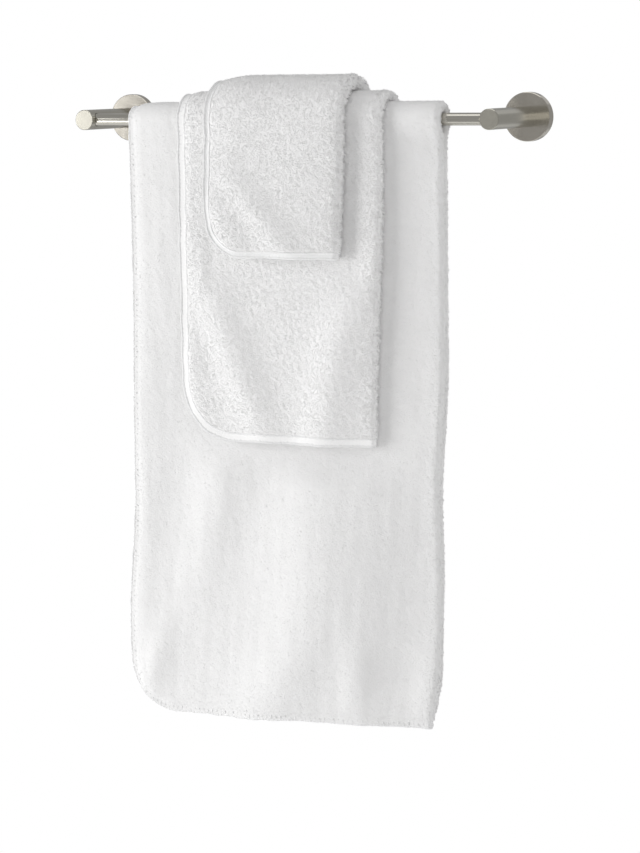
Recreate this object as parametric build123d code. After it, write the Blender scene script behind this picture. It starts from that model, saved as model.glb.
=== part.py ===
from build123d import *
import os

# Bath towel set: a bath towel, a hand towel and a wash cloth, each folded in half lengthwise and hung,
# one over the other, on a round wall-mounted towel bar.
# Millimetres. +X runs along the bar, +Z is up, the wall is the plane Y = 0 and the set stands out
# towards -Y. The origin is on the wall, midway between the two brackets, level with the bar.

# Bar and its two posts
POST_SPACING = 457.2        # centre to centre, the 18 inch size
BAR_REACH = 100.0           # wall to bar axis
BAR_DIAMETER = 12.7
BAR_WALL = 1.2
POST_DIAMETER = 21.0
POST_REACH = 112.0          # wall to the post's front face
EDGE_CHAMFER = 0.6

# Flange, a shallow cup that hides the bracket
FLANGE_DIAMETER = 50.0
FLANGE_DEPTH = 10.0
FLANGE_WALL = 1.8
FLANGE_FACE = 2.5           # thickness of the cup's front face

# Socket in the side of each post, lined with a bush in which the bar turns
RUNNING_GAP = 0.05
BUSH_WALL = 0.5
BUSH_LENGTH = 5.0
SOCKET_END_GAP = 0.5        # bar end to socket floor, and bush to socket floor
SOCKET_FLOOR = 1.3          # socket floor to the post's axis

# Fasteners
POST_SCREW_DIAMETER = 5.9
POST_SCREW_HOLE = 6.0
POST_SCREW_HEAD = 10.5
POST_SCREW_HEAD_HEIGHT = 3.2
POST_SCREW_LENGTH = 24.0
POST_SCREW_KEY = 4.0        # across flats
SET_SCREW_DIAMETER = 3.9
SET_SCREW_HOLE = 4.0
SET_SCREW_LENGTH = 6.0
SET_SCREW_KEY = 2.0
KEY_DEPTH = 2.0

# Bracket, a plate with a bent tab above and below
BRACKET_WIDTH = 26.0
BRACKET_PLATE = 2.0
BRACKET_TAB_WIDTH = 16.0
BRACKET_TAB_REACH = 6.5     # wall to the tab's front edge
BRACKET_TAB_Z = 18.4        # outer face of the lower tab
BRACKET_HOLE_SPACING = 22.0
BRACKET_HOLE = 4.5
FLANGE_BOSS_WIDTH = 9.0
FLANGE_BOSS_TOP = 20.4      # inner face of the set screw's boss, below the axis

# Towels, from the bar outwards. Each is two leaves of terry thick.
CLOTH_GAP = 0.35
HEM_WIDTH = 6.0
BATH_TOWEL = dict(left=-174.0, right=178.0, front=620.0, back=612.0, thickness=12.0, corner=55.0)
HAND_TOWEL = dict(left=-110.5, right=120.0, front=329.0, back=306.0, thickness=10.5, corner=60.0)
WASH_CLOTH = dict(left=-70.5, right=83.5, front=138.5, back=54.0, thickness=16.0, corner=42.0)

HALF_SPACING = POST_SPACING / 2
POST_INNER_SIDE = HALF_SPACING - POST_DIAMETER / 2
SOCKET_FLOOR_X = HALF_SPACING - SOCKET_FLOOR
BAR_HALF_LENGTH = SOCKET_FLOOR_X - SOCKET_END_GAP
BUSH_BORE = BAR_DIAMETER + 2 * RUNNING_GAP
SOCKET_DIAMETER = BUSH_BORE + 2 * BUSH_WALL
SIDES = {"left": -1, "right": 1}


def rod(diameter, length, start, direction):
    """A round rod that begins at the point start and runs along direction."""
    return extrude(Plane(origin=start, z_dir=direction) * Circle(diameter / 2), amount=length)


def hexagon_key(across_flats, start, direction):
    """The space that a hexagon key fills, from the point start along direction."""
    outline = RegularPolygon(across_flats / 2, 6, major_radius=False)
    return extrude(Plane(origin=start, z_dir=direction) * outline, amount=KEY_DEPTH)


def block(low, high):
    """A box between two opposite corners."""
    size = [b - a for a, b in zip(low, high)]
    middle = [(a + b) / 2 for a, b in zip(low, high)]
    return Pos(*middle) * Box(*size)


def wall_bracket(x):
    """Stamped plate that is screwed to the wall, with a curved upper tab and a flat lower one."""
    inner_radius = FLANGE_DIAMETER / 2 - FLANGE_WALL - 0.3
    half = BRACKET_WIDTH / 2
    plate = rod(2 * inner_radius, BRACKET_PLATE, (x, 0, 0), (0, -1, 0))
    plate &= block((x - half, -BRACKET_PLATE, -BRACKET_TAB_Z), (x + half, 0, inner_radius))
    tab_half = BRACKET_TAB_WIDTH / 2
    upper = rod(2 * inner_radius, BRACKET_TAB_REACH, (x, 0, 0), (0, -1, 0))
    upper -= rod(2 * (inner_radius - BRACKET_PLATE), BRACKET_TAB_REACH, (x, 0, 0), (0, -1, 0))
    upper &= block((x - tab_half, -BRACKET_TAB_REACH, 0), (x + tab_half, 0, inner_radius))
    lower = block(
        (x - tab_half, -BRACKET_TAB_REACH, -BRACKET_TAB_Z),
        (x + tab_half, 0, -BRACKET_TAB_Z + BRACKET_PLATE),
    )
    bracket = plate + upper + lower
    for z in (-BRACKET_HOLE_SPACING / 2, BRACKET_HOLE_SPACING / 2):
        bracket -= rod(BRACKET_HOLE, BRACKET_PLATE, (x, 0, z), (0, -1, 0))
    return bracket


def flange(x):
    """Round cover cup over the bracket, drilled for the post's screw and for the set screw."""
    radius = FLANGE_DIAMETER / 2
    cup = rod(FLANGE_DIAMETER, FLANGE_DEPTH, (x, 0, 0), (0, -1, 0))
    cup = chamfer(cup.edges().group_by(Axis.Y)[0], EDGE_CHAMFER)
    cavity_depth = FLANGE_DEPTH - FLANGE_FACE
    cup -= rod(FLANGE_DIAMETER - 2 * FLANGE_WALL, cavity_depth, (x, 0, 0), (0, -1, 0))
    boss_half = FLANGE_BOSS_WIDTH / 2
    boss = block((x - boss_half, -cavity_depth, -radius), (x + boss_half, 0, -FLANGE_BOSS_TOP))
    boss &= rod(FLANGE_DIAMETER - FLANGE_WALL, cavity_depth, (x, 0, 0), (0, -1, 0))
    cup += boss
    cup -= rod(POST_SCREW_HOLE, FLANGE_FACE, (x, -cavity_depth, 0), (0, -1, 0))
    cup -= rod(SET_SCREW_HOLE, radius - FLANGE_BOSS_TOP, (x, -cavity_depth / 2, -radius), (0, 0, 1))
    return cup


def post(x, side):
    """Round post with a tapped hole behind and a blind socket in the side that faces the bar."""
    body = rod(POST_DIAMETER, POST_REACH - FLANGE_DEPTH, (x, -FLANGE_DEPTH, 0), (0, -1, 0))
    body = chamfer(body.edges().group_by(Axis.Y)[0], EDGE_CHAMFER)
    hole_depth = POST_SCREW_LENGTH - FLANGE_FACE + 1
    body -= rod(POST_SCREW_HOLE, hole_depth, (x, -FLANGE_DEPTH, 0), (0, -1, 0))
    socket_start = side * (POST_INNER_SIDE - 1)
    socket_depth = SOCKET_FLOOR_X - POST_INNER_SIDE + 1
    body -= rod(SOCKET_DIAMETER, socket_depth, (socket_start, -BAR_REACH, 0), (side, 0, 0))
    return body


def post_screw(x):
    """Socket head screw that goes through the flange's face into the back of the post."""
    face_y = -(FLANGE_DEPTH - FLANGE_FACE)
    head_y = face_y + POST_SCREW_HEAD_HEIGHT
    screw = rod(POST_SCREW_DIAMETER, POST_SCREW_LENGTH, (x, face_y, 0), (0, -1, 0))
    screw += rod(POST_SCREW_HEAD, POST_SCREW_HEAD_HEIGHT, (x, head_y, 0), (0, -1, 0))
    return screw - hexagon_key(POST_SCREW_KEY, (x, head_y, 0), (0, -1, 0))


def set_screw(x):
    """Headless screw in the underside of the flange that bears on the bracket's lower tab."""
    y = -(FLANGE_DEPTH - FLANGE_FACE) / 2
    low_z = -BRACKET_TAB_Z - SET_SCREW_LENGTH
    screw = rod(SET_SCREW_DIAMETER, SET_SCREW_LENGTH, (x, y, low_z), (0, 0, 1))
    return screw - hexagon_key(SET_SCREW_KEY, (x, y, low_z), (0, 0, 1))


def bar_bush(side):
    """Plastic sleeve in the post's socket."""
    start = (side * (SOCKET_FLOOR_X - SOCKET_END_GAP), -BAR_REACH, 0)
    sleeve = rod(SOCKET_DIAMETER, BUSH_LENGTH, start, (-side, 0, 0))
    return sleeve - rod(BUSH_BORE, BUSH_LENGTH, start, (-side, 0, 0))


def bar():
    """Round tube that turns in the two bushes."""
    start = (-BAR_HALF_LENGTH, -BAR_REACH, 0)
    tube = rod(BAR_DIAMETER, 2 * BAR_HALF_LENGTH, start, (1, 0, 0))
    return tube - rod(BAR_DIAMETER - 2 * BAR_WALL, 2 * BAR_HALF_LENGTH, start, (1, 0, 0))


def leaf(left, right, drop, corner, near, far):
    """One hanging half of a towel, between two distances from the wall, with its free corner rounded."""
    sheet = Pos((left + right) / 2, -drop / 2) * Rectangle(right - left, drop)
    free_corner = sheet.vertices().sort_by(Axis.X)[:2].sort_by(Axis.Y)[0]
    return extrude(Plane.XZ.offset(near) * fillet(free_corner, corner), amount=far - near)


def over_bar(left, right, inner, outer):
    """The half round stretch of a towel that lies over the bar."""
    ring = Circle(outer) - Circle(inner) - Pos(0, -outer) * Rectangle(2 * outer, 2 * outer)
    return extrude(Plane.YZ.offset(left) * (Pos(-BAR_REACH, 0) * ring), amount=right - left)


def draped(towel, inner, inset):
    """A towel over the bar, with its free edges moved in by inset."""
    outer = inner + towel["thickness"]
    left = towel["left"] + inset
    corner = towel["corner"] - inset
    front = leaf(left, towel["right"], towel["front"] - inset, corner, BAR_REACH + inner, BAR_REACH + outer)
    back = leaf(left, towel["right"], towel["back"] - inset, corner, BAR_REACH - outer, BAR_REACH - inner)
    return front + over_bar(left, towel["right"], inner, outer) + back


def towel_and_edging(towel, inner):
    """The cloth inside the hem line, and the hemmed edging round its free edges."""
    cloth = draped(towel, inner, HEM_WIDTH)
    return cloth, draped(towel, inner, 0) - cloth


def all_parts():
    """Every piece by its node name."""
    parts = {}
    for name, side in SIDES.items():
        x = side * HALF_SPACING
        parts[name + "_wall_bracket"] = wall_bracket(x)
        parts[name + "_flange"] = flange(x)
        parts[name + "_post"] = post(x, side)
        parts[name + "_post_screw"] = post_screw(x)
        parts[name + "_set_screw"] = set_screw(x)
        parts[name + "_bar_bush"] = bar_bush(side)
    parts["bar"] = bar()
    inner = BAR_DIAMETER / 2
    for name, towel in (("bath_towel", BATH_TOWEL), ("hand_towel", HAND_TOWEL), ("wash_cloth", WASH_CLOTH)):
        inner += CLOTH_GAP
        parts[name], parts[name + "_edging"] = towel_and_edging(towel, inner)
        inner += towel["thickness"]
    return parts


os.makedirs("parts", exist_ok=True)
for node, solid in all_parts().items():
    solid.label = node
    export_step(solid, f"parts/{node}.step")
    print(node, round(solid.volume), "mm3")
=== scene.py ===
import math

import bpy
import numpy as np
from mathutils import Matrix, Vector


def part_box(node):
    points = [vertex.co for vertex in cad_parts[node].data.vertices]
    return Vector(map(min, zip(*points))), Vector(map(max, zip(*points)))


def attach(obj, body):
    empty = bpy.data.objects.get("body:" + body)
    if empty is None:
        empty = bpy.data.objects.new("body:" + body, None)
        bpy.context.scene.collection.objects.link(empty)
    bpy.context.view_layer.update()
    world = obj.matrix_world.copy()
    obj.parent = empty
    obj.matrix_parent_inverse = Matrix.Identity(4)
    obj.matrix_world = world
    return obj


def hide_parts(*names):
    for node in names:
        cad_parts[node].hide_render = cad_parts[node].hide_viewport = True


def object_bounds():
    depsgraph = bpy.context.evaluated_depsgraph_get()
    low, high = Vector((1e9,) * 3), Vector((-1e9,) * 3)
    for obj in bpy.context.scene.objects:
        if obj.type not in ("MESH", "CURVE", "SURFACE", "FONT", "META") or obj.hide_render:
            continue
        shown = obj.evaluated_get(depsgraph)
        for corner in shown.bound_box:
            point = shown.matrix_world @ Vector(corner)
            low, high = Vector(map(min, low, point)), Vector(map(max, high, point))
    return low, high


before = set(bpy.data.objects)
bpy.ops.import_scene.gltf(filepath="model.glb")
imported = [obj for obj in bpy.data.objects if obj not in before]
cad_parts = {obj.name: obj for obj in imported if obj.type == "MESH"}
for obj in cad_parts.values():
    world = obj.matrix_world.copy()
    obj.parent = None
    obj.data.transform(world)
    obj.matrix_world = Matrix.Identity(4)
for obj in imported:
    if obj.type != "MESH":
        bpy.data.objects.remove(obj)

# A bath towel, a hand towel and a wash cloth, each folded in half lengthwise and hung over a wall bar.
# Metres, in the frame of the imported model. MM turns a size given in millimetres into metres.
MM = 0.001

cad_low, cad_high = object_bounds()

# ---------------------------------------------------------------- camera

CAMERA_PLACE = Vector((1.335, -2.825, 0.065))
CAMERA_AZIMUTH = math.radians(25.5)      # to the object's right of straight ahead
CAMERA_PITCH = math.radians(7.15)        # downwards
CAMERA_ROLL = math.radians(-0.7)
CAMERA_LENS = 125.1                      # mm, on a 36 mm long side


def make_camera():
    data = bpy.data.cameras.new("camera")
    data.lens = CAMERA_LENS
    data.clip_end = 50
    camera = bpy.data.objects.new("camera", data)
    bpy.context.scene.collection.objects.link(camera)
    ahead = Vector((
        -math.sin(CAMERA_AZIMUTH) * math.cos(CAMERA_PITCH),
        math.cos(CAMERA_AZIMUTH) * math.cos(CAMERA_PITCH),
        -math.sin(CAMERA_PITCH),
    ))
    level_right = Vector((math.cos(CAMERA_AZIMUTH), math.sin(CAMERA_AZIMUTH), 0))
    level_up = level_right.cross(ahead)
    right = level_right * math.cos(CAMERA_ROLL) + level_up * math.sin(CAMERA_ROLL)
    up = -level_right * math.sin(CAMERA_ROLL) + level_up * math.cos(CAMERA_ROLL)
    turn = Matrix((right, up, -ahead)).transposed()
    camera.matrix_world = Matrix.Translation(CAMERA_PLACE) @ turn.to_4x4()
    bpy.context.scene.camera = camera


# ---------------------------------------------------------------- lights and floor

FLOOR_DROP = 0.55                        # below the lowest hem
FLOOR_RADIUS = 1.2
FLOOR_POINTS = 128
WORLD_SEEN = 1.0                         # strength of the white background in the picture
WORLD_CAST = 0.36                        # strength of the light that it casts
AIM = Vector((0.0, -0.1, -0.3))          # what every light faces

# Each light: its name, place, width and height, power in watts, and whether it shows in the metal.
LIGHTS = [
    ("key", (-1.95, -1.64, -0.4), (1.4, 2.9), 44.5, True),
    ("side", (-1.2, -0.5, -0.3), (0.6, 1.4), 2, True),
    ("right_fill", (1.9, -0.7, -0.1), (1.6, 2.0), 11.5, False),
    ("front_fill", (0.4, -3.2, 0.0), (2.0, 1.2), 8, True),
    ("overhead", (0.0, -0.35, 1.25), (1.4, 0.8), 3.0, True),
    ("back_left", (-1.5, 1.9, 0.1), (1.2, 2.0), 18, False),
    ("back_right", (1.2, 2.2, -0.2), (1.2, 2.0), 9, False),
    ("back_glow", (1.2, 2.2, -0.2), (3.0, 3.0), 5.5, True),
]


def area_light(name, place, size, power, shines):
    """A soft light on the object. One that doesn't shine leaves no reflection in the metal."""
    data = bpy.data.lights.new(name, "AREA")
    data.shape = "RECTANGLE"
    data.size, data.size_y = size
    data.energy = power
    lamp = bpy.data.objects.new(name, data)
    bpy.context.scene.collection.objects.link(lamp)
    lamp.location = place
    lamp.rotation_euler = (AIM - Vector(place)).to_track_quat("-Z", "Y").to_euler()
    lamp.visible_glossy = shines


def make_world():
    """White where the camera sees it, and a dimmer even light on the object."""
    world = bpy.data.worlds.new("studio")
    bpy.context.scene.world = world
    world.use_nodes = True
    nodes, links = world.node_tree.nodes, world.node_tree.links
    nodes.clear()
    path = nodes.new("ShaderNodeLightPath")
    seen = nodes.new("ShaderNodeBackground")
    cast = nodes.new("ShaderNodeBackground")
    mix = nodes.new("ShaderNodeMixShader")
    out = nodes.new("ShaderNodeOutputWorld")
    seen.inputs["Strength"].default_value = WORLD_SEEN
    cast.inputs["Strength"].default_value = WORLD_CAST
    for background in (seen, cast):
        background.inputs["Color"].default_value = (1, 1, 1, 1)
    links.new(path.outputs["Is Camera Ray"], mix.inputs[0])
    links.new(cast.outputs[0], mix.inputs[1])
    links.new(seen.outputs[0], mix.inputs[2])
    links.new(mix.outputs[0], out.inputs["Surface"])


def make_studio():
    make_world()
    for light in LIGHTS:
        area_light(*light)
    scene = bpy.context.scene
    scene.view_settings.view_transform = "Standard"
    scene.view_settings.look = "None"
    round_about = np.linspace(0, 2 * math.pi, FLOOR_POINTS, endpoint=False)
    level = np.full(round_about.shape, cad_low.z - FLOOR_DROP)
    rim = np.stack([FLOOR_RADIUS * np.cos(round_about), FLOOR_RADIUS * np.sin(round_about), level], -1)
    floor = mesh_object("floor", rim, [np.arange(len(rim))[None]], floor_material())


# ---------------------------------------------------------------- materials

def new_material(name):
    """A new material, its principled shader, and short ways to add nodes and links."""
    made = bpy.data.materials.new(name)
    made.use_nodes = True
    tree = made.node_tree
    shader = next(n for n in tree.nodes if n.type == "BSDF_PRINCIPLED")

    def add(kind, **settings):
        node = tree.nodes.new("ShaderNode" + kind)
        for key, value in settings.items():
            if key in node.inputs:
                node.inputs[key].default_value = value
            else:
                setattr(node, key, value)
        return node

    return made, shader, add, tree.links.new


def object_point(add, link, stretch=(1, 1, 1)):
    """The point on the object in metres, stretched along each axis."""
    coordinates = add("TexCoord")
    mapping = add("Mapping", Scale=stretch)
    link(coordinates.outputs["Object"], mapping.inputs["Vector"])
    return mapping.outputs["Vector"]


def shades(add, link, value, stops):
    """A colour ramp from a value: stops are (position, colour)."""
    ramp = add("ValToRGB")
    while len(ramp.color_ramp.elements) < len(stops):
        ramp.color_ramp.elements.new(0.5)
    for element, (position, colour) in zip(ramp.color_ramp.elements, stops):
        element.position = position
        element.color = (*colour, 1)
    link(value, ramp.inputs["Fac"])
    return ramp.outputs["Color"]


def grey(value):
    return (value, value, value)


def add_bump(add, link, shader, height, strength, distance):
    bump = add("Bump", Strength=strength, Distance=distance)
    link(height, bump.inputs["Height"])
    link(bump.outputs["Normal"], shader.inputs["Normal"])


def make_fuzzy(shader, sheen, sheen_roughness, specular):
    """The soft edge light of cotton fibres."""
    shader.inputs["Sheen Weight"].default_value = sheen
    shader.inputs["Sheen Roughness"].default_value = sheen_roughness
    shader.inputs["Specular IOR Level"].default_value = specular


def floor_material():
    made, shader, add, link = new_material("pale_floor")
    point = object_point(add, link)
    cloud = add("TexNoise", Scale=3.0, Detail=2.0)
    link(point, cloud.inputs["Vector"])
    tone = shades(add, link, cloud.outputs["Fac"], [(0.3, grey(0.88)), (0.7, grey(0.9))])
    link(tone, shader.inputs["Base Color"])
    shader.inputs["Roughness"].default_value = 0.85
    return made


def cotton(tone):
    """White cotton of a given brightness, a little warm."""
    return (tone, tone - 0.004, tone - 0.006)


LOOP_SCALE = 520.0                       # loops to a metre in the bump of the cloth under the pile


def terry_material(name, tone):
    """Looped cotton: soft mottling, fine loops in the bump, and a faint fuzz of sheen."""
    made, shader, add, link = new_material(name)
    point = object_point(add, link)
    mottle = add("TexNoise", Scale=38.0, Detail=4.0, Roughness=0.6)
    link(point, mottle.inputs["Vector"])
    stops = [(0.3, cotton(tone - 0.02)), (0.7, cotton(tone + 0.015))]
    link(shades(add, link, mottle.outputs["Fac"], stops), shader.inputs["Base Color"])
    loops = add("TexVoronoi", Scale=LOOP_SCALE, Randomness=1.0)
    link(point, loops.inputs["Vector"])
    fibres = add("TexNoise", Scale=LOOP_SCALE * 3.0, Detail=3.0, Roughness=0.7)
    link(point, fibres.inputs["Vector"])
    height = add("MixRGB", blend_type="MIX", Fac=0.45)
    link(loops.outputs["Distance"], height.inputs["Color1"])
    link(fibres.outputs["Fac"], height.inputs["Color2"])
    add_bump(add, link, shader, height.outputs["Color"], 0.55, 0.6 * MM)
    rough = shades(add, link, mottle.outputs["Fac"], [(0.3, grey(0.9)), (0.7, grey(1.0))])
    link(rough, shader.inputs["Roughness"])
    make_fuzzy(shader, sheen=0.12, sheen_roughness=0.6, specular=0.15)
    return made


def pile_material(name, tone):
    """The cotton yarn of the loops themselves, with its twist and loose fibres in the bump."""
    made, shader, add, link = new_material(name)
    point = object_point(add, link)
    twist = add("TexNoise", Scale=2400.0, Detail=2.0, Roughness=0.6)
    link(point, twist.inputs["Vector"])
    add_bump(add, link, shader, twist.outputs["Fac"], 0.3, 0.2 * MM)
    worn = add("TexNoise", Scale=60.0, Detail=2.0)
    link(point, worn.inputs["Vector"])
    rough = shades(add, link, worn.outputs["Fac"], [(0.3, grey(0.88)), (0.7, grey(1.0))])
    link(rough, shader.inputs["Roughness"])
    shader.inputs["Base Color"].default_value = (*cotton(tone), 1)
    make_fuzzy(shader, sheen=0.12, sheen_roughness=0.6, specular=0.15)
    return made


def hem_material(name, tone):
    """Smooth woven tape: a fine twill in the bump and slight shade changes."""
    made, shader, add, link = new_material(name)
    point = object_point(add, link)
    mottle = add("TexNoise", Scale=90.0, Detail=3.0)
    link(point, mottle.inputs["Vector"])
    stops = [(0.3, grey(tone - 0.02)), (0.7, grey(tone + 0.02))]
    link(shades(add, link, mottle.outputs["Fac"], stops), shader.inputs["Base Color"])
    slanted = add("Mapping", Rotation=(0, math.radians(35), 0))
    link(point, slanted.inputs["Vector"])
    twill = add("TexWave", Scale=420.0, Distortion=1.5, Detail=2.0, bands_direction="X")
    link(slanted.outputs["Vector"], twill.inputs["Vector"])
    add_bump(add, link, shader, twill.outputs["Fac"], 0.35, 0.25 * MM)
    rough = shades(add, link, mottle.outputs["Fac"], [(0.3, grey(0.72)), (0.7, grey(0.88))])
    link(rough, shader.inputs["Roughness"])
    make_fuzzy(shader, sheen=0.08, sheen_roughness=0.5, specular=0.25)
    return made


def metal_material(name, dark, light, rough, stretch, bump):
    """Metal with fine brushing drawn out along the axes that stretch leaves small. It is between a
    dark and a light colour, and rough is its least and its greatest roughness."""
    made, shader, add, link = new_material(name)
    grain = add("TexNoise", Scale=1.0, Detail=5.0, Roughness=0.65)
    link(object_point(add, link, stretch), grain.inputs["Vector"])
    wear = add("TexNoise", Scale=45.0, Detail=3.0)
    link(object_point(add, link), wear.inputs["Vector"])
    colour = shades(add, link, grain.outputs["Fac"], [(0.3, dark), (0.7, light)])
    link(colour, shader.inputs["Base Color"])
    blend = add("MixRGB", blend_type="MIX", Fac=0.25)
    link(grain.outputs["Fac"], blend.inputs["Color1"])
    link(wear.outputs["Fac"], blend.inputs["Color2"])
    stops = [(0.3, grey(rough[0])), (0.7, grey(rough[1]))]
    link(shades(add, link, blend.outputs["Color"], stops), shader.inputs["Roughness"])
    add_bump(add, link, shader, grain.outputs["Fac"], bump, 0.05 * MM)
    shader.inputs["Metallic"].default_value = 1.0
    return made


def nylon_material(name):
    """Pale moulded plastic with a faint grain."""
    made, shader, add, link = new_material(name)
    speck = add("TexNoise", Scale=400.0, Detail=3.0)
    link(object_point(add, link), speck.inputs["Vector"])
    tone = shades(add, link, speck.outputs["Fac"], [(0.3, grey(0.6)), (0.7, grey(0.66))])
    link(tone, shader.inputs["Base Color"])
    add_bump(add, link, shader, speck.outputs["Fac"], 0.2, 0.05 * MM)
    shader.inputs["Roughness"].default_value = 0.45
    return made


def dress_hardware():
    """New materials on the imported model's metal and plastic nodes."""
    turned = (60, 1500, 60)              # brushed round the post's and the flange's axis, which is Y
    drawn = (25, 1400, 1400)             # drawn along the bar
    cast = (300, 300, 300)               # an even grain
    nickel = metal_material(
        "brushed_nickel", dark=(0.53, 0.51, 0.45), light=(0.59, 0.57, 0.50), rough=(0.2, 0.24),
        stretch=turned, bump=0.008,
    )
    plate = metal_material(
        "plate_nickel", dark=(0.58, 0.545, 0.48), light=(0.66, 0.625, 0.56), rough=(0.1, 0.15),
        stretch=turned, bump=0.008,
    )
    tube = metal_material(
        "bar_nickel", dark=(0.60, 0.58, 0.52), light=(0.68, 0.66, 0.60), rough=(0.1, 0.16),
        stretch=drawn, bump=0.02,
    )
    zinc = metal_material(
        "zinc_plate", dark=(0.5, 0.51, 0.53), light=(0.66, 0.67, 0.69), rough=(0.35, 0.55),
        stretch=cast, bump=0.05,
    )
    nylon = nylon_material("bush_nylon")
    finishes = {"bar": tube}
    for side in ("left", "right"):
        finishes[side + "_flange"] = plate
        finishes[side + "_post"] = nickel
        finishes[side + "_bar_bush"] = nylon
        for part in ("_wall_bracket", "_post_screw", "_set_screw"):
            finishes[side + part] = zinc
    for node, finish in finishes.items():
        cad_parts[node].material_slots[0].material = finish


# ---------------------------------------------------------------- meshes

def mesh_object(name, points, faces, material):
    """A smooth object from an array of points and a list of arrays of faces. The faces of one array
    all have the same number of corners."""
    mesh = bpy.data.meshes.new(name)
    mesh.vertices.add(len(points))
    mesh.vertices.foreach_set("co", np.asarray(points, np.float32).ravel())
    corners = np.concatenate([f.ravel() for f in faces]).astype(np.int32)
    sizes = np.concatenate([np.full(len(f), f.shape[1]) for f in faces])
    starts = np.concatenate([[0], np.cumsum(sizes)[:-1]]).astype(np.int32)
    mesh.loops.add(len(corners))
    mesh.loops.foreach_set("vertex_index", corners)
    mesh.polygons.add(len(sizes))
    mesh.polygons.foreach_set("loop_start", starts)
    mesh.polygons.foreach_set("use_smooth", np.ones(len(sizes), bool))
    mesh.update(calc_edges=True)
    mesh.materials.append(material)
    made = bpy.data.objects.new(name, mesh)
    bpy.context.scene.collection.objects.link(made)
    return made


def grid_faces(index):
    """Quads of a two-dimensional array of point numbers."""
    return np.stack([index[:-1, :-1], index[1:, :-1], index[1:, 1:], index[:-1, 1:]], -1).reshape(-1, 4)


def rim_loop(index):
    """Point numbers round the edge of a two-dimensional array of them."""
    return np.concatenate([index[:-1, 0], index[-1, :-1], index[:0:-1, -1], index[0, :0:-1]])


def rim_faces(fine, coarse, step):
    """Triangles between a fine loop and a coarse one that has one point for each step of the other."""
    faces = []
    for k in range(step):
        near = coarse if k < step // 2 else np.roll(coarse, -1)
        start = fine[k::step]
        end = np.roll(fine, -1)[k::step]
        faces.append(np.stack([near, end, start], -1))
    middle = fine[step // 2::step]
    faces.append(np.stack([coarse, np.roll(coarse, -1), middle], -1))
    return np.concatenate(faces)


WAVES = 14                               # how many waves a random field is the sum of


def waves(a, b, wavelength, seed):
    """A smooth random field, about -1 to 1, with features near the wavelength."""
    rng = np.random.default_rng(seed)
    total = np.zeros(np.broadcast(a, b).shape)
    for _ in range(WAVES):
        heading = rng.uniform(0, 2 * math.pi)
        number = 2 * math.pi / (wavelength * rng.uniform(0.7, 1.5))
        phase = rng.uniform(0, 2 * math.pi)
        total += np.cos(number * (a * math.cos(heading) + b * math.sin(heading)) + phase)
    return total / math.sqrt(WAVES)


def smooth_step(value):
    """0 below 0, 1 above 1, and an even S between them."""
    value = np.clip(value, 0, 1)
    return value * value * (3 - 2 * value)


# ---------------------------------------------------------------- towels

bar_low, bar_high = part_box("bar")
BAR_Y = (bar_low.y + bar_high.y) / 2
BAR_Z = (bar_low.z + bar_high.z) / 2
BAR_RADIUS = (bar_high.z - bar_low.z) / 2
CLOTH_GAP = 0.35 * MM
BARE_EDGE = 2.0 * MM                     # thickness of the cloth inside the hem
BARE_PART = 0.62                         # how much of the hem's width has this thickness
THICKENS_OVER = 0.55                     # and over how much more the cloth comes to its full thickness

# Half of a hem's section, in mm: how far in from the edge, and how far off the middle of the cloth.
HEM_SECTION = [
    (-0.9, 0.5), (-0.6, 1.3), (0.0, 1.85), (0.6, 1.85), (1.2, 1.25), (1.8, 0.85), (3.0, 0.8),
    (4.6, 0.8), (5.6, 0.85), (6.1, 1.3), (6.5, 1.9), (7.2, 1.95), (7.8, 1.4), (8.3, 0.5),
]

# Drops are measured down from the bar's axis, on the front and on the back alike.
SETTLE = 4.5 * MM                        # how far each hanging half swings in, down at the hem
SETTLE_FROM, SETTLE_TO = 0.27, 0.62      # the drops where it starts and ends
HANGS_FROM, HANGS_OVER = 2 * MM, 20 * MM  # where a half leaves the bar, and how soon it hangs free
SWING_FROM, SWING_TO = 345 * MM, 500 * MM  # the drops where the swing back starts and ends
SWING_REACH = 150 * MM                   # how far from the fold it starts
SHOULDER_REACH = 85 * MM                 # how far from the fold the outer half starts to sink
SWELL_REACH = 100 * MM                   # how far from the fold the inner half starts to swell
SINK_REACH = 26 * MM                     # how far from the inner half's edge the outer half sinks
EDGE_FROM = 9 * MM                       # how far inside the inner half's edge the outer edge's dip starts
EDGE_REST = 5 * MM                       # how far in from the outer edge it is deepest
EDGE_DEPTH = 0.35                        # how deep it is, in thicknesses of a leaf
SAG_TO, SAG_FADE = 0.58, 0.2             # where the lower edge's sag ends, as a share of the width
COVER_LEFT, COVER_RIGHT, COVER_BELOW = 14 * MM, 40 * MM, 45 * MM  # how far round a cover it has effect
LUMP_SIZE = 7 * MM
FOLD_REACH = 9 * MM
STREAK_WIDTH = 15 * MM
STREAK_STRETCH = 7                       # how many times as long as wide a streak is


def hanging(drop):
    """0 over the bar and 1 a little way below it."""
    return smooth_step((drop - HANGS_FROM) / HANGS_OVER)


def settle(drop):
    """How far a hanging half has swung in at this drop."""
    return SETTLE * smooth_step((drop - SETTLE_FROM) / (SETTLE_TO - SETTLE_FROM))


def relief(folds, x, drop):
    """Sum of soft ridges and hollows. Each is its x and drop, its half width and half length, all in
    mm, its slant in degrees and its height in mm."""
    total = np.zeros_like(x)
    for x0, drop0, half_width, half_length, slant, height in folds:
        down = drop - drop0 * MM
        side = x - x0 * MM + math.tan(math.radians(slant)) * down
        total += height * MM * np.exp(-(side / (half_width * MM)) ** 2 - (down / (half_length * MM)) ** 2)
    return total


def toward(x, edge, reach):
    """1 at an edge on the right, and 0 from this far to its left."""
    return smooth_step((x - edge) / reach + 1)


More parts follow.
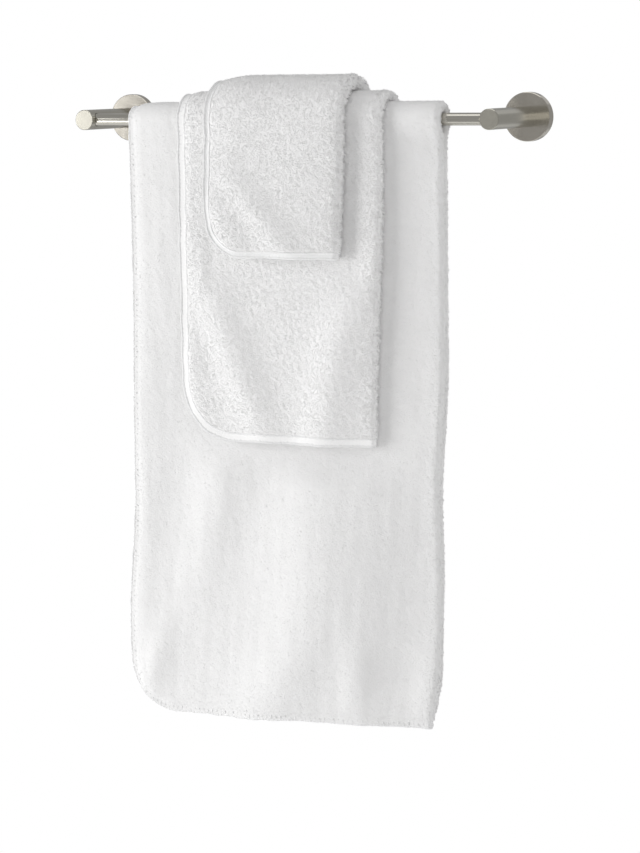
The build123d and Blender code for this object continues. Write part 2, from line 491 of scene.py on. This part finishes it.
class Towel:
    """A cloth cut with round corners, folded in half lengthwise with the fold on the right, and hung
    over the bar. A point of the flat cloth is (a, b): a across it, from the free edge of the outer
    half to the free edge of the inner half, and b along it, from the front hem to the back hem.

    inner is the radius of what it hangs on and back the drop behind. leaf is the cloth's thickness,
    pile the height of its loops and lump that of its clumps. inset is how far the inner half's free
    edge lies inside the outer half's. hem and rise scale the hem's width and height. fullness,
    shoulder, streak, sag and swing are the sizes of the swells, dips and shifts of the same name.
    cover is what the next towel out hides: left, right, and the drops in front and behind."""

    def __init__(
        self, name, inner, back, corner, leaf, pile, lump, inset, hem, rise, front_folds, back_folds, sides,
        seed, fullness=0, sag=0, cover=None, whipped=False, shoulder=0, streak=0, swing=0,
    ):
        low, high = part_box(name + "_edging")
        self.name, self.seed = name, seed
        self.left, self.right = low.x, high.x
        self.front, self.back = BAR_Z - low.z, back
        self.corner = corner
        self.leaf, self.pile, self.lump = leaf, pile, lump
        self.hem, self.rise = hem, rise
        self.outer = (high.y - low.y) / 2
        self.r_outer = self.outer - pile - leaf / 2
        self.r_inner = inner + leaf / 2
        self.fold = (self.r_outer - self.r_inner) / 2
        self.half = self.right - self.left - leaf / 2 - pile - self.fold
        self.inset = inset
        self.width = 2 * self.half + math.pi * self.fold - inset
        self.turn = (self.r_outer + self.r_inner) / 2
        self.length = self.front + math.pi * self.turn + back
        self.fullness = fullness
        self.front_folds, self.back_folds = front_folds, back_folds
        self.sides, self.sag = sides, sag
        self.cover, self.whipped = cover, whipped
        self.shoulder, self.streak, self.swing = shoulder, streak, swing

    def flat_area(self):
        return self.width * self.length - (4 - math.pi) * self.corner ** 2

    def hem_width(self):
        return HEM_SECTION[-1][0] * MM * self.hem

    def edge_distance(self, a, b):
        """Distance in from the edge of the flat cloth."""
        across = np.minimum(a, self.width - a)
        along = np.minimum(b, self.length - b)
        near_a, near_b = self.corner - across, self.corner - along
        round_part = self.corner - np.hypot(np.maximum(near_a, 0), np.maximum(near_b, 0))
        return np.where((near_a > 0) & (near_b > 0), round_part, np.minimum(across, along))

    def inside(self, a, b):
        """0 under the hem and 1 a little way inside it, where the cloth has its full thickness."""
        past = self.edge_distance(a, b) - BARE_PART * self.hem_width()
        return smooth_step(past / (THICKENS_OVER * self.hem_width()))

    def thickness(self, a, b):
        return BARE_EDGE + (self.leaf - BARE_EDGE) * self.inside(a, b)

    def lumps(self, a, b):
        """How the pile stands in clumps, which are bigger at the fold."""
        return waves(a, b, LUMP_SIZE, self.seed) * self.lump * (1 + 2 * self.at_fold(a))

    def at_fold(self, a):
        """1 round the fold and 0 on the flat halves."""
        middle = self.half + math.pi * self.fold / 2
        return np.exp(-((a - middle) / FOLD_REACH) ** 2)

    def place(self, a, b, height):
        """Where the point (a, b) hangs, lifted off the middle of the cloth by height."""
        a, b, height = np.broadcast_arrays(a, b, height)
        round_fold = np.clip((a - self.half) / self.fold, 0, math.pi)
        x = self.left + np.minimum(a, self.half) - np.maximum(a - self.half - math.pi * self.fold, 0)
        over_bar = np.clip((b - self.front) / self.turn, 0, math.pi)
        drop = np.maximum(self.front - b, 0) + np.maximum(b - self.front - math.pi * self.turn, 0)
        outerness = (1 + np.cos(round_fold)) / 2
        in_front = np.cos(over_bar) > 0
        front_relief, back_relief = relief(self.front_folds, x, drop), relief(self.back_folds, x, drop)
        folds = np.where(in_front, front_relief, back_relief)
        folds += self.streak * waves(x, drop / STREAK_STRETCH, STREAK_WIDTH, self.seed + 3)
        folds *= 1 - self.covered(x, drop, in_front)
        folds -= self.shoulder * toward(x, self.right, SHOULDER_REACH) * hanging(drop)
        radius = self.turn + (self.fold + height) * np.cos(round_fold)
        radius += folds * outerness * np.cos(over_bar) ** 2
        radius -= settle(drop) + outerness * self.edge_sink(x) + (1 - outerness) * self.fold_swell(x, drop)
        x = x + (self.fold + height) * np.sin(round_fold)
        share = (x - self.left) / (self.right - self.left)
        left_shift, right_shift = self.sides(drop)
        x = x + (1 - share) * left_shift + share * right_shift
        y = BAR_Y - radius * np.cos(over_bar) + self.swing_back(x, drop)
        z = BAR_Z + radius * np.sin(over_bar) - drop
        z = z - self.sag * smooth_step((SAG_TO - share) / SAG_FADE) * (drop / self.front) ** 2
        return np.stack([x, y, z], -1)

    def edge_sink(self, x):
        """How far the outer half sinks past the inner half's free edge, near its own free edge."""
        spare = self.r_outer - self.r_inner - self.leaf - self.pile
        in_from_edge = x - self.left
        near = smooth_step((self.inset + SINK_REACH - in_from_edge) / SINK_REACH)
        dip_span = self.inset + EDGE_FROM - EDGE_REST
        beyond = smooth_step((self.inset + EDGE_FROM - in_from_edge) / dip_span)
        return spare * near + EDGE_DEPTH * self.leaf * beyond

    def swing_back(self, x, drop):
        """How far both hanging halves swing back towards the wall, low down on the fold's side."""
        low_down = smooth_step((drop - SWING_FROM) / (SWING_TO - SWING_FROM))
        return self.swing * toward(x, self.right, SWING_REACH) * low_down

    def covered(self, x, drop, in_front):
        """1 where the next towel out lies on this one, and 0 a little way outside it."""
        if self.cover is None:
            return np.zeros_like(x)
        left, right, front, back = self.cover
        from_left = smooth_step((x - left + COVER_LEFT) / COVER_LEFT)
        from_right = smooth_step((right + COVER_RIGHT - x) / COVER_RIGHT)
        below = smooth_step((drop - np.where(in_front, front, back)) / COVER_BELOW)
        return from_left * from_right * (1 - below)

    def fold_swell(self, x, drop):
        """How far the inner half swells towards the other hanging half beside the fold."""
        near = toward(x, self.left + self.half, SWELL_REACH)
        return np.maximum(self.fullness - settle(drop), 0) * near * hanging(drop)


# ---------------------------------------------------------------- the cloth of a towel

def even_steps(start, end, step, multiple):
    """Points from start to end, about step apart, in a whole multiple of spans."""
    spans = max(1, round((end - start) / step / multiple)) * multiple
    return np.linspace(start, end, spans + 1)


COARSE = 4                               # the hidden face has one point for this many of the shown face
FOLD_STEP = 0.8                          # spans round the fold, in spans of the outer half
INNER_STEP = 3                           # and across the inner half
ROUGHNESS = 0.2 * MM                     # how far the cloth's points stand off an even surface


def cloth_grid(towel, fine):
    """Rows and columns of the flat cloth, fine on the outer half and the fold, with round corners."""
    fold_end = towel.half + math.pi * towel.fold
    outer_half = even_steps(0, towel.half, fine, COARSE)
    fold = even_steps(towel.half, fold_end, fine * FOLD_STEP, COARSE)
    inner_half = even_steps(fold_end, towel.width, INNER_STEP * fine, COARSE)
    columns = np.concatenate([outer_half[:-1], fold[:-1], inner_half])
    rows = even_steps(0, towel.length, fine, COARSE)
    a, b = np.meshgrid(columns, rows, indexing="ij")
    along = np.minimum(b, towel.length - b)
    short = np.clip(towel.corner - along, 0, towel.corner)
    cut = towel.corner - np.sqrt(towel.corner ** 2 - short ** 2)
    a = cut + a * (towel.width - 2 * cut) / towel.width
    return a, b


def make_cloth(towel, fine, material):
    """The towel's own closed sheet, with its relief of loops on the shown side."""
    a, b = cloth_grid(towel, fine)
    inside, thickness = towel.inside(a, b), towel.thickness(a, b)
    jitter = np.random.default_rng(towel.seed).uniform(-ROUGHNESS, ROUGHNESS, a.shape)
    rough = jitter + towel.lumps(a, b)
    shown = towel.place(a, b, thickness / 2 + rough * inside)
    pick = (slice(None, None, COARSE), slice(None, None, COARSE))
    hidden = towel.place(a[pick], b[pick], -thickness[pick] / 2)
    fine_index = np.arange(a.size).reshape(a.shape)
    coarse_index = a.size + np.arange(hidden[..., 0].size).reshape(hidden.shape[:2])
    faces = [
        grid_faces(fine_index)[:, ::-1],
        grid_faces(coarse_index),
        rim_faces(rim_loop(fine_index), rim_loop(coarse_index), COARSE),
    ]
    points = np.concatenate([shown.reshape(-1, 3), hidden.reshape(-1, 3)])
    return mesh_object(towel.name + "_cloth", points, faces, material)


# ---------------------------------------------------------------- loops of yarn

YARN_SIDES = np.array([-1.0, 0.0, 1.0])
YARN_TAPER = 0.45                        # how much narrower a yarn's ends are
YARN_ROUND = 0.5                         # how far its sides drop, in widths
YARN_DIP = 0.35                          # how far its ends drop, in widths


def yarn_pieces(towel, a, b, heading, length, width, lift, ground, bend, spans):
    """Points and faces of short arched yarns, centred on the points (a, b) of the flat cloth."""
    along = np.linspace(-1, 1, spans + 1)[None, :, None]
    side = YARN_SIDES[None, None, :]
    cos, sin = np.cos(heading)[:, None, None], np.sin(heading)[:, None, None]
    length, width = length[:, None, None], width[:, None, None]
    forward = along * length / 2
    sideways = side * width / 2 * (1 - YARN_TAPER * along ** 2) + bend[:, None, None] * (1 - along ** 2)
    arch = lift[:, None, None] * (1 - along ** 2)
    arch = arch - YARN_ROUND * width * side ** 2 - YARN_DIP * width * along ** 2
    points = towel.place(
        a[:, None, None] + forward * cos - sideways * sin,
        b[:, None, None] + forward * sin + sideways * cos,
        ground[:, None, None] + arch,
    )
    count, stations, sides = points.shape[:3]
    index = np.arange(stations * sides).reshape(stations, sides)
    faces = grid_faces(index)[None] + (np.arange(count) * stations * sides)[:, None, None]
    return points.reshape(-1, 3), faces.reshape(-1, 4)[:, ::-1]


LOOP_SPANS = 2                           # quads along a loop of the pile
WHIPPED_PILE_FROM = (0.6, 0.7)           # where the pile starts, in widths of a whipped hem
BANDED_PILE_FROM = (0.66, 0.95)          # and of a banded one


def make_pile(towel, name, loops, b_range, material, seed):
    """Terry loops over the outer half and the fold, between two places along the cloth. loops is
    their spacing, length and width."""
    spacing, length, width = loops
    rng = np.random.default_rng(seed)
    a = np.arange(0, towel.half + math.pi * towel.fold, spacing)
    b = np.arange(*b_range, spacing)
    a, b = (grid.ravel() for grid in np.meshgrid(a, b, indexing="ij"))
    a = a + rng.uniform(-0.5, 0.5, a.size) * spacing
    b = b + rng.uniform(-0.5, 0.5, b.size) * spacing
    pile_from = rng.uniform(*(WHIPPED_PILE_FROM if towel.whipped else BANDED_PILE_FROM), a.size)
    keep = towel.edge_distance(a, b) > pile_from * towel.hem_width()
    a, b = a[keep], b[keep]
    count = a.size
    points, faces = yarn_pieces(
        towel, a, b,
        heading=rng.uniform(0, math.pi, count),
        length=length * rng.uniform(0.6, 1.3, count),
        width=width * rng.uniform(0.75, 1.25, count),
        lift=towel.pile * rng.uniform(0.3, 1.0, count) * (1 + towel.at_fold(a)),
        ground=towel.thickness(a, b) / 2 + towel.lumps(a, b) * towel.inside(a, b),
        bend=length * rng.uniform(-0.3, 0.3, count),
        spans=LOOP_SPANS,
    )
    return mesh_object(name, points, [faces], material)


# ---------------------------------------------------------------- hems

def outline(towel, step):
    """Points round the edge of the flat cloth, evenly spaced, and which way is out at each: a, b, and
    the outward direction along a and along b."""
    radius = towel.corner
    corners = [
        (towel.width - radius, radius, -90),
        (towel.width - radius, towel.length - radius, 0),
        (radius, towel.length - radius, 90),
        (radius, radius, 180),
    ]
    a, b, out_a, out_b = [], [], [], []
    for number, (centre_a, centre_b, start) in enumerate(corners):
        turn = np.radians(start + np.linspace(0, 90, round(radius * math.pi / 2 / step), endpoint=False))
        a.append(centre_a + radius * np.cos(turn))
        b.append(centre_b + radius * np.sin(turn))
        out_a.append(np.cos(turn))
        out_b.append(np.sin(turn))
        next_a, next_b, _ = corners[(number + 1) % 4]
        facing = math.radians(start + 90)
        from_a, from_b = centre_a + radius * math.cos(facing), centre_b + radius * math.sin(facing)
        to_a, to_b = next_a + radius * math.cos(facing), next_b + radius * math.sin(facing)
        share = np.linspace(0, 1, round(math.hypot(to_a - from_a, to_b - from_b) / step), endpoint=False)
        a.append(from_a + share * (to_a - from_a))
        b.append(from_b + share * (to_b - from_b))
        out_a.append(np.full(share.shape, math.cos(facing)))
        out_b.append(np.full(share.shape, math.sin(facing)))
    return [np.concatenate(part) for part in (a, b, out_a, out_b)]


HEM_STEP = 0.85 * MM
OUTER_RIDGE, OUTER_SPREAD = 0.5, 1.2     # where the hem's outer ridge is and how wide, in mm
INNER_RIDGE, INNER_SPREAD = 7.0, 0.9
INNER_PULL = 0.6                         # how much the stitches pull the inner ridge in, to the outer one
WHIP_PITCH = 3.4 * MM
WHIPPED_DIP, BANDED_DIP = 0.4, 0.1       # how much of a ridge's height a stitch pulls in
DIP_SIZE, DIP_SPREAD = 11 * MM, 0.25     # how the depth of the dips changes along the hem
SLACK_SIZE, SLACK = 30 * MM, 0.35 * MM   # slow changes in how far in the hem lies
WOBBLE_SIZE, WOBBLE = 4 * MM, 0.12 * MM  # and quick ones
PUCKER_SIZE, PUCKER = 3.2 * MM, 0.16 * MM


def make_hem(towel, material):
    """The folded band stitched over the cloth's edge, with a rolled ridge on each side of a groove."""
    a, b, out_a, out_b = (part[:, None] for part in outline(towel, HEM_STEP))
    inward = np.array([p[0] for p in HEM_SECTION] + [p[0] for p in reversed(HEM_SECTION)])
    heights = [p[1] for p in HEM_SECTION] + [-p[1] for p in reversed(HEM_SECTION)]
    height = np.array(heights) * MM * towel.rise
    travelled = np.arange(a.shape[0])[:, None] * HEM_STEP
    level = 0 * travelled
    ridge = np.exp(-((inward - OUTER_RIDGE) / OUTER_SPREAD) ** 2)
    ridge += INNER_PULL * np.exp(-((inward - INNER_RIDGE) / INNER_SPREAD) ** 2)
    stitched = (1 - np.cos(2 * math.pi * travelled / WHIP_PITCH)) / 2
    uneven = 1 + DIP_SPREAD * waves(travelled, level, DIP_SIZE, towel.seed + 5)
    dip = WHIPPED_DIP if towel.whipped else BANDED_DIP
    whip = 1 - dip * ridge[None, :] * stitched * uneven
    slack = SLACK * waves(travelled, level, SLACK_SIZE, towel.seed + 6)
    slack = slack + WOBBLE * waves(travelled, level, WOBBLE_SIZE, towel.seed + 7)
    inset = inward[None, :] * MM * towel.hem + slack
    puckers = PUCKER * waves(travelled, inward[None, :] * MM, PUCKER_SIZE, towel.seed + 8)
    raised = height[None, :] * whip + puckers * np.sign(height)[None, :]
    points = towel.place(a - out_a * inset, b - out_b * inset, raised)
    index = np.arange(points[..., 0].size).reshape(points.shape[:2])
    index = np.concatenate([index, index[:1]])
    index = np.concatenate([index, index[:, :1]], 1)
    return mesh_object(towel.name + "_hem", points.reshape(-1, 3), [grid_faces(index)], material)


# Stitches in mm: their pitch, how far in from the edge, length, width, lift, and height of their ends.
WHIPPED_STITCH = {"pitch": 5.4, "inset": (2.4, 4.6), "length": 5.0, "width": 1.7, "lift": 0.9, "ground": 1.5}
BANDED_STITCH = {"pitch": 3.2, "inset": 4.0, "length": 2.4, "width": 0.6, "lift": 0.2, "ground": 0.8}
STITCH_SPANS = 5                         # quads along a stitch


def make_stitches(towel, material):
    """The stitches of the hem: a line along its groove, or whipped over its edge."""
    rng = np.random.default_rng(towel.seed + 9)
    stitch = WHIPPED_STITCH if towel.whipped else BANDED_STITCH
    a, b, out_a, out_b = outline(towel, stitch["pitch"] * MM)
    count = a.size
    inset = rng.uniform(*stitch["inset"], count) if towel.whipped else stitch["inset"]
    inset = inset * MM * towel.hem
    turn = math.pi / 2 if towel.whipped else 0
    points, faces = yarn_pieces(
        towel, a - out_a * inset, b - out_b * inset,
        heading=np.arctan2(out_a, -out_b) + turn + rng.uniform(-0.4, 0.4, count),
        length=stitch["length"] * MM * rng.uniform(0.6, 1.3, count),
        width=stitch["width"] * MM * rng.uniform(0.7, 1.3, count),
        lift=stitch["lift"] * MM * rng.uniform(0.4, 1.2, count),
        ground=np.full(count, stitch["ground"] * MM * towel.rise),
        bend=np.zeros(count),
        spans=STITCH_SPANS,
    )
    return mesh_object(towel.name + "_stitches", points, [faces], material)


# ---------------------------------------------------------------- the three towels

def between(drop, start, end):
    """0 above start and 1 below end, both in mm down from the bar."""
    return smooth_step((drop / MM - start) / (end - start))


# How far to the right each towel's left and right edges are shifted at a drop.

def bath_sides(drop):
    left = 2.5 * between(drop, 0, 200) - 12 * between(drop, 380, 540)
    right = -8 * between(drop, 240, 400) - 3 * between(drop, 420, 560) - 9 * between(drop, 555, 625)
    return left * MM, right * MM


def hand_sides(drop):
    return 2 * MM * between(drop, 0, 300), -9 * MM * between(drop, 60, 330)


def wash_sides(drop):
    return -2.5 * MM + 0 * drop, -4.5 * MM * between(drop, 20, 140)


# Ridges and hollows, as relief takes them.
BATH_FRONT = [
    (40, 430, 52, 120, 2, 13.0),
    (8, 580, 45, 75, 24, 12.0),
    (98, 430, 60, 140, 0, 6.0),
    (-70, 380, 30, 110, 12.5, 9.0),
    (-172, 390, 32, 190, 0, 7.5),
    (-140, 562, 16, 40, 15, 5.0),
    (94, 565, 20, 45, 0, 7.0),
    (172, 580, 20, 45, 0, 6.0),
]
BATH_BACK = [
    (10, 470, 55, 200, -8, 9.0),
    (-80, 420, 36, 140, 8, 6.0),
    (105, 430, 34, 120, -6, 6.0),
]
HAND_FRONT = [
    (-42, 250, 24, 100, -23, 9.0),
    (72, 262, 30, 130, 11, 13.0),
    (-98, 250, 14, 50, -12, 3.5),
]
HAND_BACK = [
    (-40, 200, 30, 90, 12, 7.0),
    (60, 215, 30, 90, -8, 7.0),
]
WASH_FRONT = [
    (-2, 98, 22, 46, -40, 7.5),
    (-56, 92, 18, 40, -29, 5.5),
    (44, 90, 36, 100, 0, 3.0),
]
WASH_BACK = []


def make_towel(towel, body, fine, loops, tone, tape_tone):
    """One towel: its cloth with points about fine apart, its pile in a front and a back piece, its hem
    and its stitches."""
    terry = terry_material(towel.name + "_terry", tone)
    yarn = pile_material(towel.name + "_yarn", tone)
    tape = hem_material(towel.name + "_tape", tape_tone)
    cloth = make_cloth(towel, fine, terry)
    top = towel.front + math.pi * towel.turn / 2
    spans = {"front": (0, top), "back": (top, towel.length)}
    pile = [
        make_pile(towel, f"{towel.name}_pile_{side}", loops, span, yarn, towel.seed + number)
        for number, (side, span) in enumerate(spans.items(), 10)
    ]
    hem = make_hem(towel, tape)
    stitches = make_stitches(towel, tape)
    for piece in (cloth, *pile, hem, stitches):
        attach(piece, body)
    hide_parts(towel.name)
    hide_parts(towel.name + "_edging")
    towel.flat_area()
    return cloth


make_camera()
make_studio()
dress_hardware()

bath = Towel(
    "bath_towel", inner=BAR_RADIUS + CLOTH_GAP, back=612 * MM, corner=55 * MM, leaf=4.9 * MM,
    pile=0.6 * MM, lump=0.1 * MM, inset=9 * MM, hem=1.0, rise=0.8, front_folds=BATH_FRONT,
    back_folds=BATH_BACK, sides=bath_sides, seed=100, fullness=9.2 * MM, sag=2.5 * MM,
    cover=(-110 * MM, 120 * MM, 332 * MM, 309 * MM), whipped=True, shoulder=9 * MM, streak=0.17 * MM,
    swing=8.5 * MM,
)
hand = Towel(
    "hand_towel", inner=bath.outer + CLOTH_GAP, back=306 * MM, corner=60 * MM, leaf=4.0 * MM,
    pile=1.2 * MM, lump=0.22 * MM, inset=8 * MM, hem=1.2, rise=1.0, front_folds=HAND_FRONT,
    back_folds=HAND_BACK, sides=hand_sides, seed=200, cover=(-70 * MM, 84 * MM, 141 * MM, 57 * MM),
)
wash = Towel(
    "wash_cloth", inner=hand.outer + CLOTH_GAP, back=54 * MM, corner=42 * MM, leaf=5.4 * MM,
    pile=1.3 * MM, lump=0.25 * MM, inset=11 * MM, hem=0.9, rise=1.4, front_folds=WASH_FRONT,
    back_folds=WASH_BACK, sides=wash_sides, seed=300,
)
bath_cloth = make_towel(
    bath, "bath_towel", fine=2.2 * MM, loops=(2.2 * MM, 2.4 * MM, 1.0 * MM),
    tone=0.875, tape_tone=0.9,
)
hand_cloth = make_towel(
    hand, "hand_towel", fine=2.0 * MM, loops=(1.55 * MM, 2.2 * MM, 0.95 * MM),
    tone=0.95, tape_tone=0.84,
)
wash_cloth = make_towel(
    wash, "wash_cloth", fine=2.0 * MM, loops=(1.6 * MM, 2.4 * MM, 0.95 * MM),
    tone=0.925, tape_tone=0.9,
)
